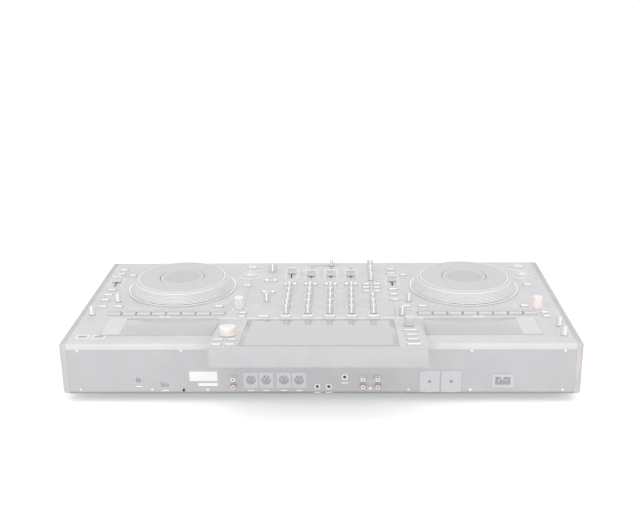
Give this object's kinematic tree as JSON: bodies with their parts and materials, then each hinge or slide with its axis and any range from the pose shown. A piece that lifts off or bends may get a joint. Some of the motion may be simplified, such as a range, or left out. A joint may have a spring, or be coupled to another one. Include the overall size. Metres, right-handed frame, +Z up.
{
  "type": "dj controller",
  "caption": "All-in-one DJ controller: jog wheels either side of a mixer with knobs and faders, performance pads, a raised tilted screen and a rear socket panel.",
  "frame": {"origin": "on the table, under the middle of the whole outline, seen from above", "axes": "+X to the right of the person using it, -Y towards that person, +Z up"},
  "size_m": [0.9448, 0.5286, 0.1557],
  "materials": {
    "painted_case": "fine satin powder coat",
    "cheek": "smooth satin moulding",
    "steel_bottom": "matte coat",
    "rear_metal": "fine matte coat",
    "front_wall": "fine matte moulding",
    "screen_shell": "satin moulding",
    "screen_glass": "polished cover glass, dark behind",
    "inlay": "gloss",
    "jog_base": "satin",
    "jog_screen": "gloss",
    "jog_wheel": "satin with a machined top",
    "rubber": "matte",
    "connector": "nickel",
    "phono": "gloss",
    "port": "nickel",
    "inlet": "matte",
    "board": "solder mask",
    "knob": "soft touch",
    "encoder": "lit copper pink",
    "fader_cap": "satin",
    "key": "translucent, lit",
    "pad": "silicone rubber",
    "round_button": "satin with a lit ring"
  },
  "bodies": {
    "chassis": {"bottom_plate": "steel_bottom", "control_board": "board", "data_ports": "port", "deck_inlays": "inlay", "display_glass": "screen_glass", "display_housing": "screen_shell", "feet": "rubber", "front_panel": "front_wall", "jack_sockets": "connector", "jog_bases": "jog_base", "jog_displays": "jog_screen", "phono_sockets": "phono", "power_inlet": "inlet", "rear_panel": "rear_metal", "side_cheeks": "cheek", "side_knobs": "knob", "upper_case": "painted_case", "xlr_sockets": "connector"},
    "browse_knob": {"browse_knob": "encoder"},
    "channel_1_fader": {"channel_1_fader": "fader_cap"},
    "channel_1_filter_knob": {"channel_1_filter_knob": "knob"},
    "channel_1_high_knob": {"channel_1_high_knob": "knob"},
    "channel_1_low_knob": {"channel_1_low_knob": "knob"},
    "channel_1_mid_knob": {"channel_1_mid_knob": "knob"},
    "channel_1_trim_knob": {"channel_1_trim_knob": "knob"},
    "channel_2_fader": {"channel_2_fader": "fader_cap"},
    "channel_2_filter_knob": {"channel_2_filter_knob": "knob"},
    "channel_2_high_knob": {"channel_2_high_knob": "knob"},
    "channel_2_low_knob": {"channel_2_low_knob": "knob"},
    "channel_2_mid_knob": {"channel_2_mid_knob": "knob"},
    "channel_2_trim_knob": {"channel_2_trim_knob": "knob"},
    "channel_3_fader": {"channel_3_fader": "fader_cap"},
    "channel_3_filter_knob": {"channel_3_filter_knob": "knob"},
    "channel_3_high_knob": {"channel_3_high_knob": "knob"},
    "channel_3_low_knob": {"channel_3_low_knob": "knob"},
    "channel_3_mid_knob": {"channel_3_mid_knob": "knob"},
    "channel_3_trim_knob": {"channel_3_trim_knob": "knob"},
    "channel_4_fader": {"channel_4_fader": "fader_cap"},
    "channel_4_filter_knob": {"channel_4_filter_knob": "knob"},
    "channel_4_high_knob": {"channel_4_high_knob": "knob"},
    "channel_4_low_knob": {"channel_4_low_knob": "knob"},
    "channel_4_mid_knob": {"channel_4_mid_knob": "knob"},
    "channel_4_trim_knob": {"channel_4_trim_knob": "knob"},
    "crossfader": {"crossfader": "fader_cap"},
    "cue_button_left": {"cue_button_left": "round_button"},
    "cue_button_right": {"cue_button_right": "round_button"},
    "jog_wheel_left": {"jog_wheel_left": "jog_wheel"},
    "jog_wheel_right": {"jog_wheel_right": "jog_wheel"},
    "loop_knob_left": {"loop_knob_left": "encoder"},
    "loop_knob_right": {"loop_knob_right": "encoder"},
    "master_level_knob": {"master_level_knob": "knob"},
    "pads_left": {"pads_left": "pad"},
    "pads_right": {"pads_right": "pad"},
    "panel_keys": {"panel_keys": "key"},
    "play_button_left": {"play_button_left": "round_button"},
    "play_button_right": {"play_button_right": "round_button"},
    "screen_keys": {"screen_keys": "key"},
    "tempo_slider_left": {"tempo_slider_left": "fader_cap"},
    "tempo_slider_right": {"tempo_slider_right": "fader_cap"},
    "view_knob": {"view_knob": "knob"}
  },
  "joints": [
    {"name": "browse_knob_turn", "type": "hinge", "parent": "chassis", "child": "browse_knob", "pos_m": [0.164, 0.18066, 0.13759], "axis": [0, -0.1491, 0.9888], "continuous": true},
    {"name": "channel_1_fader_travel", "type": "slide", "parent": "chassis", "child": "channel_1_fader", "axis": [0, 1, 0], "range_m": [-0.047, 0.009]},
    {"name": "channel_1_filter_knob_turn", "type": "hinge", "parent": "chassis", "child": "channel_1_filter_knob", "pos_m": [-0.05885, -0.098, 0.1185], "axis": [0, 0, 1], "range_deg": [-150, 150]},
    {"name": "channel_1_high_knob_turn", "type": "hinge", "parent": "chassis", "child": "channel_1_high_knob", "pos_m": [-0.05885, -0.002, 0.1185], "axis": [0, 0, 1], "range_deg": [-150, 150]},
    {"name": "channel_1_low_knob_turn", "type": "hinge", "parent": "chassis", "child": "channel_1_low_knob", "pos_m": [-0.05885, -0.066, 0.1185], "axis": [0, 0, 1], "range_deg": [-150, 150]},
    {"name": "channel_1_mid_knob_turn", "type": "hinge", "parent": "chassis", "child": "channel_1_mid_knob", "pos_m": [-0.05885, -0.034, 0.1185], "axis": [0, 0, 1], "range_deg": [-150, 150]},
    {"name": "channel_1_trim_knob_turn", "type": "hinge", "parent": "chassis", "child": "channel_1_trim_knob", "pos_m": [-0.05885, 0.03, 0.1185], "axis": [0, 0, 1], "range_deg": [-150, 150]},
    {"name": "channel_2_fader_travel", "type": "slide", "parent": "chassis", "child": "channel_2_fader", "axis": [0, 1, 0], "range_m": [-0.047, 0.009]},
    {"name": "channel_2_filter_knob_turn", "type": "hinge", "parent": "chassis", "child": "channel_2_filter_knob", "pos_m": [-0.01655, -0.098, 0.1185], "axis": [0, 0, 1], "range_deg": [-150, 150]},
    {"name": "channel_2_high_knob_turn", "type": "hinge", "parent": "chassis", "child": "channel_2_high_knob", "pos_m": [-0.01655, -0.002, 0.1185], "axis": [0, 0, 1], "range_deg": [-150, 150]},
    {"name": "channel_2_low_knob_turn", "type": "hinge", "parent": "chassis", "child": "channel_2_low_knob", "pos_m": [-0.01655, -0.066, 0.1185], "axis": [0, 0, 1], "range_deg": [-150, 150]},
    {"name": "channel_2_mid_knob_turn", "type": "hinge", "parent": "chassis", "child": "channel_2_mid_knob", "pos_m": [-0.01655, -0.034, 0.1185], "axis": [0, 0, 1], "range_deg": [-150, 150]},
    {"name": "channel_2_trim_knob_turn", "type": "hinge", "parent": "chassis", "child": "channel_2_trim_knob", "pos_m": [-0.01655, 0.03, 0.1185], "axis": [0, 0, 1], "range_deg": [-150, 150]},
    {"name": "channel_3_fader_travel", "type": "slide", "parent": "chassis", "child": "channel_3_fader", "axis": [0, 1, 0], "range_m": [-0.047, 0.009]},
    {"name": "channel_3_filter_knob_turn", "type": "hinge", "parent": "chassis", "child": "channel_3_filter_knob", "pos_m": [0.02575, -0.098, 0.1185], "axis": [0, 0, 1], "range_deg": [-150, 150]},
    {"name": "channel_3_high_knob_turn", "type": "hinge", "parent": "chassis", "child": "channel_3_high_knob", "pos_m": [0.02575, -0.002, 0.1185], "axis": [0, 0, 1], "range_deg": [-150, 150]},
    {"name": "channel_3_low_knob_turn", "type": "hinge", "parent": "chassis", "child": "channel_3_low_knob", "pos_m": [0.02575, -0.066, 0.1185], "axis": [0, 0, 1], "range_deg": [-150, 150]},
    {"name": "channel_3_mid_knob_turn", "type": "hinge", "parent": "chassis", "child": "channel_3_mid_knob", "pos_m": [0.02575, -0.034, 0.1185], "axis": [0, 0, 1], "range_deg": [-150, 150]},
    {"name": "channel_3_trim_knob_turn", "type": "hinge", "parent": "chassis", "child": "channel_3_trim_knob", "pos_m": [0.02575, 0.03, 0.1185], "axis": [0, 0, 1], "range_deg": [-150, 150]},
    {"name": "channel_4_fader_travel", "type": "slide", "parent": "chassis", "child": "channel_4_fader", "axis": [0, 1, 0], "range_m": [-0.032, 0.024]},
    {"name": "channel_4_filter_knob_turn", "type": "hinge", "parent": "chassis", "child": "channel_4_filter_knob", "pos_m": [0.06805, -0.098, 0.1185], "axis": [0, 0, 1], "range_deg": [-150, 150]},
    {"name": "channel_4_high_knob_turn", "type": "hinge", "parent": "chassis", "child": "channel_4_high_knob", "pos_m": [0.06805, -0.002, 0.1185], "axis": [0, 0, 1], "range_deg": [-150, 150]},
    {"name": "channel_4_low_knob_turn", "type": "hinge", "parent": "chassis", "child": "channel_4_low_knob", "pos_m": [0.06805, -0.066, 0.1185], "axis": [0, 0, 1], "range_deg": [-150, 150]},
    {"name": "channel_4_mid_knob_turn", "type": "hinge", "parent": "chassis", "child": "channel_4_mid_knob", "pos_m": [0.06805, -0.034, 0.1185], "axis": [0, 0, 1], "range_deg": [-150, 150]},
    {"name": "channel_4_trim_knob_turn", "type": "hinge", "parent": "chassis", "child": "channel_4_trim_knob", "pos_m": [0.06805, 0.03, 0.1185], "axis": [0, 0, 1], "range_deg": [-150, 150]},
    {"name": "crossfader_travel", "type": "slide", "parent": "chassis", "child": "crossfader", "axis": [1, 0, 0], "range_m": [0, 0.044]},
    {"name": "cue_button_left_press", "type": "slide", "parent": "chassis", "child": "cue_button_left", "axis": [0, 0, -1], "range_m": [0, 0.0008], "stiffness_N_per_m": 900, "springref_m": -0.001},
    {"name": "cue_button_right_press", "type": "slide", "parent": "chassis", "child": "cue_button_right", "axis": [0, 0, -1], "range_m": [0, 0.0008], "stiffness_N_per_m": 900, "springref_m": -0.001},
    {"name": "jog_wheel_left_spin", "type": "hinge", "parent": "chassis", "child": "jog_wheel_left", "pos_m": [-0.2915, -0.11, 0.1215], "axis": [0, 0, 1], "continuous": true},
    {"name": "jog_wheel_right_spin", "type": "hinge", "parent": "chassis", "child": "jog_wheel_right", "pos_m": [0.2915, -0.11, 0.1215], "axis": [0, 0, 1], "continuous": true},
    {"name": "loop_knob_left_turn", "type": "hinge", "parent": "chassis", "child": "loop_knob_left", "pos_m": [-0.4215, 0.0065, 0.1185], "axis": [0, 0, 1], "continuous": true},
    {"name": "loop_knob_right_turn", "type": "hinge", "parent": "chassis", "child": "loop_knob_right", "pos_m": [0.1615, 0.0065, 0.1185], "axis": [0, 0, 1], "continuous": true},
    {"name": "master_level_knob_turn", "type": "hinge", "parent": "chassis", "child": "master_level_knob", "pos_m": [0.1106, -0.2132, 0.1185], "axis": [0, 0, 1], "range_deg": [-150, 150]},
    {"name": "pads_left_press", "type": "slide", "parent": "chassis", "child": "pads_left", "axis": [0, 0, -1], "range_m": [0, 0.0008], "stiffness_N_per_m": 1500, "springref_m": -0.001},
    {"name": "pads_right_press", "type": "slide", "parent": "chassis", "child": "pads_right", "axis": [0, 0, -1], "range_m": [0, 0.0008], "stiffness_N_per_m": 1500, "springref_m": -0.001},
    {"name": "panel_keys_press", "type": "slide", "parent": "chassis", "child": "panel_keys", "axis": [0, 0, -1], "range_m": [0, 0.0008], "stiffness_N_per_m": 1500, "springref_m": -0.001},
    {"name": "play_button_left_press", "type": "slide", "parent": "chassis", "child": "play_button_left", "axis": [0, 0, -1], "range_m": [0, 0.0008], "stiffness_N_per_m": 900, "springref_m": -0.001},
    {"name": "play_button_right_press", "type": "slide", "parent": "chassis", "child": "play_button_right", "axis": [0, 0, -1], "range_m": [0, 0.0008], "stiffness_N_per_m": 900, "springref_m": -0.001},
    {"name": "screen_keys_press", "type": "slide", "parent": "chassis", "child": "screen_keys", "axis": [0, 0.1491, -0.9888], "range_m": [0, 0.0008], "stiffness_N_per_m": 1500, "springref_m": -0.001},
    {"name": "tempo_slider_left_travel", "type": "slide", "parent": "chassis", "child": "tempo_slider_left", "axis": [0, 1, 0], "range_m": [-0.022, 0.022]},
    {"name": "tempo_slider_right_travel", "type": "slide", "parent": "chassis", "child": "tempo_slider_right", "axis": [0, 1, 0], "range_m": [-0.022, 0.022]},
    {"name": "view_knob_turn", "type": "hinge", "parent": "chassis", "child": "view_knob", "pos_m": [-0.164, 0.11342, 0.12745], "axis": [0, -0.1491, 0.9888], "continuous": true}
  ]
}
